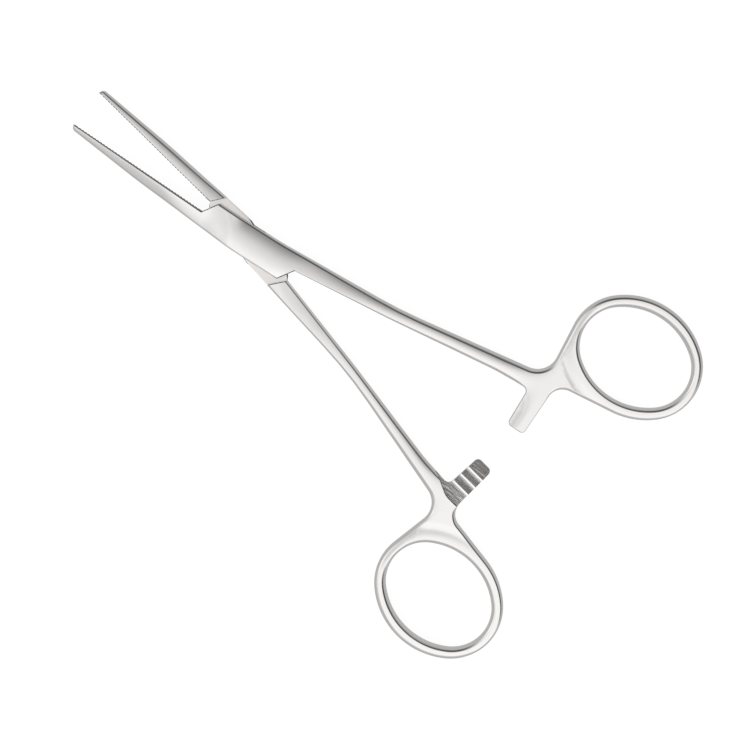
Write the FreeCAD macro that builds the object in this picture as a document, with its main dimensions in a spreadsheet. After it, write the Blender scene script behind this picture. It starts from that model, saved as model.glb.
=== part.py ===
import FreeCAD, Part
import math
import os
import re
import Sketcher

# Box-lock hemostat forceps, laid flat with the jaws part open.
# Each half is drawn in its own frame: the pin axis is Z, X runs along the closing line to the jaw tip,
# the half's own jaw lies on the +Y side, its handle on the -Y side, and Z = 0 is mid-thickness.
# The two halves are the same forging. The second one is turned over about X, and only its joint differs.

Vec = FreeCAD.Vector
doc = FreeCAD.newDocument("hemostat_forceps")

# Driving sizes in millimetres and degrees, with what each one is
SIZES = [
    ("open_angle", 11.1, "angle between the halves as they lie, closed is 0"),
    ("full_open", 60, "angle between the halves at the stop inside the box"),
    ("jaw_reach", 43.9, "pin axis to jaw tip"),
    ("jaw_gap", 0.02, "gripping face to the closing line at the tip"),
    ("tip_depth", 1.06, "depth of the jaw behind its tip"),
    ("tip_lean", 0.15, "how far the tip's end leans back"),
    ("tip_corner", 0.95, "round at the back of the tip, seen from above"),
    ("jaw_mid", 26, "pin axis to the bend in the jaw's back"),
    ("jaw_depth", 2.48, "depth of the jaw at that bend"),
    ("jaw_bend", 100, "radius of that bend"),
    ("back_x", 2, "pin axis to the crown of the box's side"),
    ("back_crown", 3.5, "half width of the box at its crown"),
    ("crown_bend", 60, "radius of the crown"),
    ("cheek_x", 9.25, "pin axis to a cheek's outer corner"),
    ("cheek_half", 3.2, "half width of the box at that corner"),
    ("notch_x", 11.55, "pin axis to a cheek's inner corner"),
    ("notch_y", 0.28, "closing line to that corner"),
    ("box_thick", 4.8, "thickness of the box"),
    ("box_blend", 60, "radius where the box's flats run into the jaw's taper"),
    ("thick_to", 26, "pin axis to where the handle begins to get thinner"),
    ("thin_from", 50, "pin axis to where it is as thin as the ring"),
    ("flat_blend", 600, "radius of the flats at both places"),
    ("tip_thick", 2.3, "thickness of the jaw at its tip"),
    ("flank_x", 6, "pin axis to where the handle's outer edge leaves the box"),
    ("flank_y", 3.55, "half width of the half there"),
    ("flank_bend", 40, "radius there"),
    ("shank_mid", 34, "pin axis to the long bend in the handle's inner edge"),
    ("shank_drop", 2.95, "closing line to that bend"),
    ("shank_width", 1.95, "width between the bends' corners at mid-handle"),
    ("shank_bend", 100, "radius of both long bends"),
    ("web_start", 7.7, "ratchet arm's near side to the start of the web"),
    ("web_drop", 6.28, "closing line to the handle's inner edge there"),
    ("web_bend", 30, "radius there"),
    ("arm_x", 65.7, "pin axis to the ratchet arm's near side at its root"),
    ("arm_width", 4.45, "width of the ratchet arm at its root"),
    ("arm_taper", 0.4, "how much narrower the arm is at its tip"),
    ("arm_over", 1.65, "how far the arm's tip crosses the closing line"),
    ("arm_corner", 1.0, "round at the arm's tip, seen from above"),
    ("arm_root", 6.8, "closing line to the arm's root"),
    ("root_bend", 1.2, "radius in the corner between arm and handle"),
    ("web_in", 10.85, "closing line to the web's corner under the arm"),
    ("web_in_bend", 3.5, "radius of that corner"),
    ("web_out", 11.4, "closing line to the web's outer corner"),
    ("web_neck", 2.6, "width of the web between its two corners"),
    ("web_out_bend", 4.5, "radius of the outer corner"),
    ("ring_back", 10.5, "arm's far side to the ring's centre"),
    ("ring_drop", 24.7, "closing line to the ring's centre"),
    ("hole_long", 24.6, "finger opening along the handle"),
    ("hole_wide", 19.4, "finger opening across the handle"),
    ("rim_end", 2.3, "width of the ring at its ends"),
    ("rim_side", 2.7, "width of the ring at its sides"),
    ("ring_thick", 3.9, "thickness of the ring"),
    ("handle_bevel", 0.8, "edge bevel of the handle, the ratchet arm and the ring's outside"),
    ("hole_round", 0.9, "edge round of the finger opening"),
    ("jaw_round", 0.9, "edge round of the box's side and the jaw's back"),
    ("outline_slack", 0.02, "how far off a run of the outline an edge may lie and still count as its own"),
    ("pin_radius", 1.3, "radius of the pin's body"),
    ("head_radius", 1.9, "radius of the pin's heads at the surface"),
    ("head_sink", 0.6, "depth of a head's cone"),
    ("pin_gap", 0.04, "running clearance of the pin in the tongue, on the radius"),
    ("tongue_thick", 1.9, "thickness of the tongue"),
    ("tongue_gap", 0.05, "running clearance of the tongue in the slot, each side"),
    ("tongue_width", 5.7, "width of the tongue across the pin"),
    ("tongue_slant", 11.4, "how far the tongue is turned from the closing line"),
    ("tongue_x", 10.8, "pin axis to the tongue's bevelled corner"),
    ("stop_gap", 0.1, "clearance between the tongue's sides and the slot's ends"),
    ("shoulder_gap", 0.3, "clearance between a cheek's edge and the shoulder it faces when shut"),
    ("groove_pitch", 0.75, "pitch of the jaw's cross grooves"),
    ("groove_depth", 0.2, "depth of those grooves"),
    ("groove_land", 0.1, "flat left between them"),
    ("groove_start", 12.9, "pin axis to the first groove"),
    ("groove_end", 0.9, "tip to the last groove, at least"),
    ("crest_first", 1.0, "closing line to the ratchet's outermost crest"),
    ("crest_pitch", 2.13, "pitch of the ratchet"),
    ("crest_count", 3, "number of ratchet teeth"),
    ("crest_rise", 0.12, "how far the crests stand past mid-thickness"),
    ("crest_land", 0.08, "flat on top of a crest"),
    ("tooth_depth", 0.75, "depth of the ratchet teeth"),
    ("tooth_foot", 0.28, "lean of a tooth's catching face at its foot"),
    ("shoulder_drop", 8.6, "closing line to the arm's shoulder"),
    ("shoulder_run", 1.2, "arm's near side to the corner where the shoulder turns along the handle"),
    ("shoulder_bend", 4, "radius of that corner"),
    ("scoop_exit", 3.6, "arm's near side to where the shoulder leaves the handle's edge"),
    ("scoop_top", 7.9, "closing line to the top of the scooped ramp in front of the shoulder"),
]
sheet = doc.addObject("Spreadsheet::Sheet", "sizes")
for row, (alias, size, meaning) in enumerate(SIZES, start=1):
    sheet.set(f"A{row}", meaning)
    sheet.set(f"B{row}", str(size))
    sheet.setAlias(f"B{row}", alias)
doc.recompute()


def bound(text):
    # Every size has an underscore in its name, so it can be told from sin, cos and the like
    return re.sub(r"[a-z]+(?:_[a-z]+)+", lambda name: "sizes." + name.group(0), text)


def number(text):
    return float(sheet.evalExpression(bound(text)))


# Places that more than one piece is drawn from, as expressions on the sizes
ARM_FAR = "(arm_x + arm_width)"
RING_X = f"({ARM_FAR} + ring_back)"
WEB_OUT_X = f"({ARM_FAR} - web_neck)"
RING_HALF_X = "(hole_long / 2 + rim_end)"
RING_HALF_Y = "(hole_wide / 2 + rim_side)"
TONGUE_HALF = "(tongue_width / 2)"
SLOT_HALF = "(tongue_width / 2 + stop_gap)"
STOCK = "(2 * box_thick)"
LAST_CREST = "(crest_first + (crest_count - 1) * crest_pitch)"
# How far a cutting outline runs past the metal that it cuts
PAST = 2


def origin_plane(body, role):
    return next(p for p in body.Origin.OriginFeatures if p.Role == role)


def new_sketch(body, name, role, offset=None):
    sketch = body.newObject("Sketcher::SketchObject", name)
    sketch.AttachmentSupport = [(origin_plane(body, role), "")]
    sketch.MapMode = "FlatFace"
    if offset:
        sketch.setExpression("AttachmentOffset.Base.z", bound(offset))
    return sketch


def bind(sketch, kind, *places, text):
    index = sketch.addConstraint(Sketcher.Constraint(kind, *places, number(text)))
    sketch.setExpression(f"Constraints[{index}]", bound(text))


def corner_point(sketch, x, y):
    point = sketch.addGeometry(Part.Point(Vec(number(x), number(y), 0)), True)
    bind(sketch, "DistanceX", -1, 1, point, 1, text=x)
    bind(sketch, "DistanceY", -1, 1, point, 1, text=y)
    return point


def rounding(before, at, after, radius):
    # Start, middle and end of the arc that rounds one corner
    back = (before - at).normalize()
    ahead = (after - at).normalize()
    half = back.getAngle(ahead) / 2
    middle_way = (back + ahead).normalize()
    reach = radius / math.tan(half)
    middle = at + middle_way * (radius / math.sin(half) - radius)
    return at + back * reach, middle, at + ahead * reach


def add_chain(sketch, corners, first=None, last=None):
    # Straight runs through the corners, each corner sharp or rounded by a tangent arc.
    # The chain closes on itself, or runs from the point first to the point last.
    # Returns the first and the last straight run.
    places = [Vec(number(x), number(y), 0) for x, y, radius in corners]
    before = [first or places[-1]] + places[:-1]
    after = places[1:] + [last or places[0]]
    arcs = []
    for corner, back, at, ahead in zip(corners, before, places, after):
        radius = corner[2]
        arcs.append(rounding(back, at, ahead, number(radius)) if radius else (at, at, at))
    starts = [arc[2] for arc in arcs]
    ends = [arc[0] for arc in arcs]
    if first:
        starts.insert(0, first)
        ends.append(last)
    else:
        ends.append(ends.pop(0))
    runs = [sketch.addGeometry(Part.LineSegment(a, b), False) for a, b in zip(starts, ends)]
    for i, (x, y, radius) in enumerate(corners):
        run_in = runs[i] if first else runs[i - 1]
        run_out = runs[i + 1] if first else runs[i]
        point = corner_point(sketch, x, y)
        if not radius:
            sketch.addConstraint(Sketcher.Constraint("Coincident", run_in, 2, run_out, 1))
            sketch.addConstraint(Sketcher.Constraint("Coincident", point, 1, run_out, 1))
            continue
        arc = sketch.addGeometry(Part.Arc(*arcs[i]), False)
        # An arc is kept anticlockwise, so its own start may be at either run
        from_start, from_end = [(sketch.getPoint(arc, end) - arcs[i][0]).Length for end in (1, 2)]
        near, off = (1, 2) if from_start < from_end else (2, 1)
        sketch.addConstraint(Sketcher.Constraint("Tangent", run_in, 2, arc, near))
        sketch.addConstraint(Sketcher.Constraint("Tangent", run_out, 1, arc, off))
        sketch.addConstraint(Sketcher.Constraint("PointOnObject", point, 1, run_in))
        sketch.addConstraint(Sketcher.Constraint("PointOnObject", point, 1, run_out))
        bind(sketch, "Radius", arc, text=radius)
    return runs[0], runs[-1]


def oval(x, y, half_x, half_y):
    # An oval of four tangent arcs close to an ellipse: two ends of one radius and two sides of another.
    # Each arc is its centre and its radius, as expressions.
    diagonal = f"sqrt(pow({half_x}; 2) + pow({half_y}; 2))"
    end_radius = f"({diagonal} * ({diagonal} - {half_x} + {half_y}) / (2 * {half_x}))"
    side_radius = f"({diagonal} * ({diagonal} + {half_x} - {half_y}) / (2 * {half_y}))"
    end_off = f"({half_x} - {end_radius})"
    side_off = f"({side_radius} - {half_y})"
    return [
        (x, f"{y} - {side_off}", side_radius),
        (f"{x} - {end_off}", y, end_radius),
        (x, f"{y} + {side_off}", side_radius),
        (f"{x} + {end_off}", y, end_radius),
    ]


def add_oval(sketch, arcs, first=None, last=None):
    # The arcs anticlockwise from the upper side. They close on themselves,
    # or run from the angle first on the upper side to the angle last on the near end.
    centres = [Vec(number(x), number(y), 0) for x, y, radius in arcs]
    turns = []
    for i in range(4):
        way = (centres[(i + 1) % 4] - centres[i]) * (1 if i % 2 == 0 else -1)
        turns.append(math.atan2(way.y, way.x) % (2 * math.pi))
    starts = [turns[3] if first is None else first] + turns[:3]
    ends = turns[:3] + [turns[3] if last is None else last]
    curves = []
    for (x, y, radius), centre, start, end in zip(arcs, centres, starts, ends):
        circle = Part.Circle(centre, Vec(0, 0, 1), number(radius))
        while end < start:
            end += 2 * math.pi
        curves.append(sketch.addGeometry(Part.ArcOfCircle(circle, start, end), False))
        bind(sketch, "Radius", curves[-1], text=radius)
    joins = [(0, 1), (1, 2), (2, 3)] + ([(3, 0)] if first is None else [])
    for before, after in joins:
        sketch.addConstraint(Sketcher.Constraint("Tangent", curves[before], 2, curves[after], 1))
    for place in (1, 3):
        centre = corner_point(sketch, *arcs[place][:2])
        sketch.addConstraint(Sketcher.Constraint("Coincident", curves[place], 3, centre, 1))
    if first is not None:
        bind(sketch, "DistanceX", -1, 1, curves[0], 3, text=arcs[0][0])
    return curves


def touch_angle(arc, point, side):
    # Where on an arc's circle the line from an outside point touches it
    x, y, radius = arc
    away = point - Vec(number(x), number(y), 0)
    return math.atan2(away.y, away.x) + side * math.acos(number(radius) / away.Length)


def pocket(body, sketch, name, both=True, length=None, up=False):
    cut = body.newObject("PartDesign::Pocket", name)
    cut.Profile = sketch
    cut.Type = "Length" if length else "ThroughAll"
    if length:
        cut.setExpression("Length", bound(length))
    if both:
        cut.SideType = "Symmetric"
    cut.Reversed = up
    sketch.Visibility = False
    return cut


# Outline of one half, from the web's outer corner forward round the jaw and back to the ring
OUTLINE = [
    (f"-{WEB_OUT_X}", "-web_out", "web_out_bend"),
    ("-shank_mid", "-shank_drop - shank_width", "shank_bend"),
    ("-flank_x", "-flank_y", "flank_bend"),
    ("cheek_x", "-cheek_half", ""),
    ("notch_x", "notch_y", ""),
    ("jaw_reach", "jaw_gap", ""),
    ("jaw_reach - tip_lean", "jaw_gap + tip_depth", "tip_corner"),
    ("jaw_mid", "jaw_depth", "jaw_bend"),
    ("back_x", "back_crown", "crown_bend"),
    ("-cheek_x", "cheek_half", ""),
    ("-notch_x", "-notch_y", ""),
    ("-shank_mid", "-shank_drop", "shank_bend"),
    ("-(arm_x - web_start)", "-web_drop", "web_bend"),
    ("-arm_x", "-arm_root", "root_bend"),
    ("-(arm_x + arm_taper)", "arm_over", "arm_corner"),
    (f"-{ARM_FAR}", "arm_over", "arm_corner"),
    (f"-{ARM_FAR}", "-web_in", "web_in_bend"),
]
RING = oval(f"-{RING_X}", "-ring_drop", RING_HALF_X, RING_HALF_Y)
HOLE = oval(f"-{RING_X}", "-ring_drop", "(hole_long / 2)", "(hole_wide / 2)")


def half_outline(sketch):
    # The handle's runs touch the ring's upper side and near end, so that the web has no crease there
    web_out = Vec(number(OUTLINE[0][0]), number(OUTLINE[0][1]), 0)
    web_in = Vec(number(OUTLINE[-1][0]), number(OUTLINE[-1][1]), 0)
    touches = [touch_angle(RING[0], web_in, 1), touch_angle(RING[3], web_out, -1)]
    places = []
    for (x, y, radius), turn in zip((RING[0], RING[3]), touches):
        reach = Vec(math.cos(turn), math.sin(turn), 0) * number(radius)
        places.append(Vec(number(x), number(y), 0) + reach)
    first_run, last_run = add_chain(sketch, OUTLINE, places[1], places[0])
    curves = add_oval(sketch, RING, touches[0], touches[1])
    sketch.addConstraint(Sketcher.Constraint("Tangent", last_run, 2, curves[0], 1))
    sketch.addConstraint(Sketcher.Constraint("Tangent", first_run, 1, curves[3], 2))


def side_profile(sketch):
    # What is taken off above and below: the flats run straight from ring to box, then taper to the tip
    taper = "((box_thick - tip_thick) / 2 / (jaw_reach - notch_x))"
    behind = f"({RING_HALF_X} + {PAST})"
    back = f"-({RING_X} + {behind})"
    ahead = f"(jaw_reach + {PAST})"
    for side in ("", "-"):
        add_chain(sketch, [
            (back, f"{side}(ring_thick / 2)", ""),
            ("-thin_from", f"{side}(ring_thick / 2)", "flat_blend"),
            ("-thick_to", f"{side}(box_thick / 2)", "flat_blend"),
            ("notch_x", f"{side}(box_thick / 2)", "box_blend"),
            (ahead, f"{side}(tip_thick / 2 - {taper} * {PAST})", ""),
            (ahead, f"{side}{STOCK}", ""),
            (back, f"{side}{STOCK}", ""),
        ])


def blank_body():
    body = doc.addObject("PartDesign::Body", "half_blank")
    sketch = new_sketch(body, "half_outline", "XY_Plane")
    half_outline(sketch)
    stock = body.newObject("PartDesign::Pad", "stock")
    stock.Profile = sketch
    stock.SideType = "Symmetric"
    stock.setExpression("Length", bound(STOCK))
    sketch = new_sketch(body, "finger_hole", "XY_Plane")
    add_oval(sketch, HOLE)
    pocket(body, sketch, "finger_opening")
    sketch = new_sketch(body, "side_profile", "XZ_Plane")
    side_profile(sketch)
    pocket(body, sketch, "flats_and_taper")
    doc.recompute()
    return body


def lies_on(point, start, end):
    start = Vec(number(start[0]), number(start[1]), 0)
    end = Vec(number(end[0]), number(end[1]), 0)
    run = end - start
    share = min(max((point - start).dot(run) / run.dot(run), 0), 1)
    return (point - start - run * share).Length < number("outline_slack")


def group_at(place):
    # Which edge treatment a place on the outline belongs to
    across = (place.x + number(RING_X)) / number("(hole_long + rim_end) / 2")
    along = (place.y + number("ring_drop")) / number("(hole_wide + rim_side) / 2")
    if across ** 2 + along ** 2 < 1:
        return "hole"
    if place.y > 0 and place.x > -number("notch_x"):
        return "jaw"
    return "handle"


def outline_edges(shape, groups):
    # The edges of both flats along the outline, without those of the gripping face and the cheeks' ends
    sharp = [(OUTLINE[3], OUTLINE[4]), (OUTLINE[4], OUTLINE[5]), (OUTLINE[9], OUTLINE[10])]
    upright = 0.5
    chosen = []
    for index, edge in enumerate(shape.Edges, start=1):
        middle = edge.valueAt((edge.FirstParameter + edge.LastParameter) / 2)
        walls = 0
        for face in shape.ancestorsOfType(edge, Part.Face):
            u, v = face.Surface.parameter(middle)
            walls += abs(face.normalAt(u, v).z) < upright
        place = Vec(middle.x, middle.y, 0)
        if walls == 1 and group_at(place) in groups and not any(lies_on(place, *run) for run in sharp):
            chosen.append(index)
    return chosen


def softened(base, kind, name, sizes_by_group):
    # Bevels or rounds the outline's edges, each group by its own size
    step = doc.addObject(kind, name)
    step.Base = base
    edges = []
    for group, size in sizes_by_group.items():
        edges += [(index, number(size), number(size)) for index in outline_edges(base.Shape, [group])]
    step.Edges = edges
    doc.recompute()
    return step


def rounded_blank(body):
    bevelled = softened(body, "Part::Chamfer", "bevelled_blank", {"handle": "handle_bevel"})
    rounds = {"hole": "hole_round", "jaw": "jaw_round"}
    return softened(bevelled, "Part::Fillet", "rounded_blank", rounds)


def next_body(name, base):
    body = doc.addObject("PartDesign::Body", name)
    body.BaseFeature = base
    doc.recompute()
    return body


def ratchet(body):
    # The arm keeps its upper half, and teeth are milled across its underside.
    # Each catching face looks back to the handle, and each ramp falls away towards the arm's tip.
    sketch = new_sketch(body, "arm_shoulder", "XY_Plane", "-crest_rise")
    edge_fall = "((arm_root - web_drop) / web_start)"
    exit_y = f"(arm_root - {edge_fall} * scoop_exit)"
    exit_x = "(arm_x - scoop_exit)"
    turn_x = "(arm_x + shoulder_run)"
    add_chain(sketch, [
        (f"-({ARM_FAR} + {PAST})", "-shoulder_drop", ""),
        (f"-{turn_x}", "-shoulder_drop", "shoulder_bend"),
        (f"{turn_x} - 2 * {exit_x}", f"shoulder_drop - 2 * {exit_y}", ""),
        (f"{turn_x} - 2 * {exit_x}", f"arm_over + {PAST}", ""),
        (f"-({ARM_FAR} + {PAST})", f"arm_over + {PAST}", ""),
    ])
    pocket(body, sketch, "arm_halving", both=False)
    sketch = new_sketch(body, "tooth_profile", "YZ_Plane", f"-({ARM_FAR} + {PAST})")
    floor = "(tooth_depth - crest_rise)"
    ramp = "(tooth_depth / crest_pitch)"
    tip_run = f"(arm_over + crest_first + {PAST})"
    add_chain(sketch, [
        (f"arm_over + {PAST}", f"{ramp} * {tip_run} - crest_rise", ""),
        (f"arm_over + {PAST}", "-crest_rise", ""),
        ("-crest_first", "-crest_rise", ""),
    ])
    for i in range(round(number("crest_count")) - 1):
        crest = f"(crest_first + {i} * crest_pitch + crest_land)"
        add_chain(sketch, [
            (f"-{crest}", "-crest_rise", ""),
            (f"-(crest_first + {i + 1} * crest_pitch)", "-crest_rise", ""),
            (f"-({crest} + tooth_foot)", floor, ""),
        ])
    add_chain(sketch, [
        (f"-({LAST_CREST} + crest_land)", "-crest_rise", ""),
        (f"-({LAST_CREST} + crest_land + tooth_foot)", floor, ""),
        ("-scoop_top", "-crest_rise", ""),
    ])
    return pocket(body, sketch, "ratchet_teeth", both=False, length=f"arm_width + 2 * {PAST}", up=True)


def gripping_grooves(body):
    sketch = new_sketch(body, "groove", "XY_Plane")
    face = "(jaw_gap + (notch_y - jaw_gap) * (jaw_reach - groove_start) / (jaw_reach - notch_x))"
    half = "((groove_pitch - groove_land) / 2)"
    add_chain(sketch, [
        (f"groove_start - 2 * {half}", f"{face} - groove_depth", ""),
        (f"groove_start + 2 * {half}", f"{face} - groove_depth", ""),
        ("groove_start", f"{face} + groove_depth", ""),
    ])
    first = Vec(number("groove_start"), number(face), 0)
    tip = Vec(number("jaw_reach"), number("jaw_gap"), 0)
    run = sketch.addGeometry(Part.LineSegment(first, tip), True)
    start = corner_point(sketch, "groove_start", face)
    end = corner_point(sketch, "jaw_reach", "jaw_gap")
    sketch.addConstraint(Sketcher.Constraint("Coincident", run, 1, start, 1))
    sketch.addConstraint(Sketcher.Constraint("Coincident", run, 2, end, 1))
    cut = pocket(body, sketch, "first_groove")
    doc.recompute()
    count = int(number("floor((jaw_reach - groove_end - groove_start) / groove_pitch)"))
    rows = body.newObject("PartDesign::LinearPattern", "grooves")
    rows.Originals = [cut]
    rows.Direction = (sketch, ["Axis0"])
    rows.Occurrences = count + 1
    rows.setExpression("Length", bound(f"groove_pitch * {count}"))
    body.Tip = rows
    return rows


def forging():
    body = next_body("half_forging", rounded_blank(blank_body()))
    ratchet(body)
    gripping_grooves(body)
    doc.recompute()
    return body


def pin_profile(sketch):
    # Half section of the pin: two sunk conical heads on a plain body, ground flush with the cheeks
    reach = "box_thick / 2"
    add_chain(sketch, [
        ("0", f"-{reach}", ""),
        ("head_radius", f"-{reach}", ""),
        ("pin_radius", f"head_sink - {reach}", ""),
        ("pin_radius", f"{reach} - head_sink", ""),
        ("head_radius", reach, ""),
        ("0", reach, ""),
    ])


def spin(body, kind, name, sketch):
    turned = body.newObject(kind, name)
    turned.Profile = sketch
    turned.ReferenceAxis = (sketch, ["V_Axis"])
    turned.Angle = 360
    return turned


def box_half(base):
    # The box: two cheeks with a slot between them, whose ends stop the tongue when shut and full open
    body = next_body("box_half", base)
    sketch = new_sketch(body, "slot_plan", "XY_Plane")
    open_way = "(90 - tongue_slant - full_open)"
    middle_way = "(90 - tongue_slant - full_open / 2)"
    corner = f"({SLOT_HALF} / cos(full_open / 2))"
    side = f"(back_crown + {PAST})"
    shut_x = "(tongue_x + stop_gap)"
    shut_y = f"(({SLOT_HALF} - {shut_x} * sin(tongue_slant)) / cos(tongue_slant))"
    end = [
        (f"({SLOT_HALF} - {side} * sin({open_way})) / cos({open_way})", side, ""),
        (f"{corner} * cos({middle_way})", f"{corner} * sin({middle_way})", ""),
        (shut_x, shut_y, ""),
        (f"{shut_x} + {PAST}", f"{shut_y} - {PAST}", ""),
        (f"{shut_x} + {PAST}", f"-{side}", ""),
    ]
    add_chain(sketch, end + [(f"-({x})", f"-({y})", "") for x, y, radius in end])
    pocket(body, sketch, "slot", length="tongue_thick + 2 * tongue_gap")
    doc.recompute()
    sketch = new_sketch(body, "rivet_seat", "XZ_Plane")
    pin_profile(sketch)
    spin(body, "PartDesign::Groove", "rivet_bore", sketch)
    doc.recompute()
    return body


def tongue_half(base):
    # The tongue: the middle milled down from both faces between two shoulders, and narrowed in plan
    body = next_body("tongue_half", base)
    lean = "((notch_x - cheek_x) / (notch_y + cheek_half))"
    shift = f"(shoulder_gap * sqrt(1 + pow({lean}; 2)))"
    front = f"(cheek_x + {shift} + {lean} * cheek_half)"
    side = f"(back_crown + {PAST})"
    shoulders = [(f"{front} - {lean} * {side}", side, ""), (f"{front} + {lean} * {side}", f"-{side}", "")]
    for name, level, up in (("upper", "tongue_thick / 2", True), ("lower", "-tongue_thick / 2", False)):
        sketch = new_sketch(body, name + "_shoulders", "XY_Plane", level)
        add_chain(sketch, shoulders + [(f"-({x})", f"-({y})", "") for x, y, radius in shoulders])
        pocket(body, sketch, name + "_milling", both=False, up=up)
    doc.recompute()
    sketch = new_sketch(body, "tongue_plan", "XY_Plane")
    band_y = f"(({TONGUE_HALF} - tongue_x * sin(tongue_slant)) / cos(tongue_slant))"
    corner = [
        (f"({TONGUE_HALF} - {side} * cos(tongue_slant)) / sin(tongue_slant)", f"-{side}", ""),
        ("tongue_x", f"-{band_y}", ""),
        (f"tongue_x + {band_y}", "0", ""),
        (f"tongue_x + {PAST}", "0", ""),
        (f"tongue_x + {PAST}", f"-{side}", ""),
    ]
    add_chain(sketch, corner)
    add_chain(sketch, [(f"-({x})", f"-({y})", "") for x, y, radius in corner])
    pocket(body, sketch, "tongue_sides")
    sketch = new_sketch(body, "tongue_bore", "XY_Plane")
    circle = sketch.addGeometry(Part.Circle(Vec(), Vec(0, 0, 1), number("pin_radius + pin_gap")), False)
    sketch.addConstraint(Sketcher.Constraint("Coincident", circle, 3, -1, 1))
    bind(sketch, "Radius", circle, text="pin_radius + pin_gap")
    pocket(body, sketch, "pin_bore")
    doc.recompute()
    return body


def rivet_pin():
    body = doc.addObject("PartDesign::Body", "rivet_pin")
    sketch = new_sketch(body, "pin_section", "XZ_Plane")
    pin_profile(sketch)
    spin(body, "PartDesign::Revolution", "pin", sketch)
    doc.recompute()
    return body


# The pieces, each laid down by its own placement
half_forging = forging()
lift = Vec(0, 0, number("box_thick / 2"))
half_open = number("open_angle / 2")
turn = FreeCAD.Rotation(Vec(0, 0, 1), half_open)
turn_back = FreeCAD.Rotation(Vec(0, 0, 1), -half_open)
turned_over = FreeCAD.Rotation(Vec(1, 0, 0), 180)
pieces = {
    "box_half": (box_half(half_forging), FreeCAD.Placement(lift, turn)),
    "tongue_half": (tongue_half(half_forging), FreeCAD.Placement(lift, turn_back.multiply(turned_over))),
    "rivet_pin": (rivet_pin(), FreeCAD.Placement(lift, turn)),
}
for label, (piece, placement) in pieces.items():
    piece.Label = label
    piece.Placement = placement
doc.recompute()

for item in doc.Objects:
    if {"Invalid", "Error"} & set(item.State):
        raise RuntimeError(f"{item.Label} failed: {item.State}")
for label, (piece, placement) in pieces.items():
    if piece.Shape.isNull() or not piece.Shape.isValid():
        raise RuntimeError(f"{label} has no valid shape")
    shape = piece.Shape
    print(label, len(shape.Solids), "solid,", round(shape.Volume, 1), "mm3,", len(shape.Faces), "faces")

os.makedirs("parts", exist_ok=True)
for label, (piece, placement) in pieces.items():
    piece.Shape.exportStep(f"parts/{label}.step")
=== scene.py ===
import math

import bmesh
import bpy
import numpy as np
from mathutils import Matrix, Vector
from mathutils.geometry import delaunay_2d_cdt


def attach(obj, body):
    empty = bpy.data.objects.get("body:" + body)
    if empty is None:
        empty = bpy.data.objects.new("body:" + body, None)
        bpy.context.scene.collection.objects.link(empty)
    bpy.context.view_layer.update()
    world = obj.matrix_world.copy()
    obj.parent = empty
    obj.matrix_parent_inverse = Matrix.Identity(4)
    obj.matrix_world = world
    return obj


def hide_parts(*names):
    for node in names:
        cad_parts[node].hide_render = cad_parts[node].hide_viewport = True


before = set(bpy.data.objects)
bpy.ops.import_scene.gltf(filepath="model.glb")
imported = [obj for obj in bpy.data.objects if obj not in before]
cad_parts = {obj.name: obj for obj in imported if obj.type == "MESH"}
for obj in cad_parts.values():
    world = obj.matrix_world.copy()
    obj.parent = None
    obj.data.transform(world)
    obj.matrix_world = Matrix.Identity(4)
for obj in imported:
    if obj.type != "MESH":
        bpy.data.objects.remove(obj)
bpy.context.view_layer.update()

print("frame loaded")

# The photograph is taken from above with a slight lean, the jaws to the upper left
camera = {
    "target": (-0.03820, 0.00498, 0.0024),
    "lean": (0.0125, -0.0888),      # how far the camera stands off the target for each metre of height
    "height": 0.56,
    "pixelsPerMetre": 4771.5,       # at the target
    "imageRight": (-0.7733, -0.6342, 0.0),
    "roll": -0.0012,
    "imageSide": 750,
}


def addCamera(c):
    target = Vector(c["target"])
    place = target + Vector((c["lean"][0], c["lean"][1], 1.0)) * c["height"]
    away = (place - target).normalized()
    right = Matrix.Rotation(-c["roll"], 3, "Z") @ Vector(c["imageRight"])
    right = (right - away * right.dot(away)).normalized()
    up = away.cross(right)
    data = bpy.data.cameras.new("camera")
    data.sensor_width = 36.0
    data.lens = c["pixelsPerMetre"] * (place - target).length / c["imageSide"] * data.sensor_width
    data.clip_start = 0.01
    data.clip_end = 20.0
    obj = bpy.data.objects.new("camera", data)
    turn = Matrix((right, up, away)).transposed()
    obj.matrix_world = Matrix.Translation(place) @ turn.to_4x4()
    bpy.context.scene.collection.objects.link(obj)
    bpy.context.scene.camera = obj


addCamera(camera)
bpy.context.scene.view_settings.view_transform = "Standard"
print("camera placed")

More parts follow.
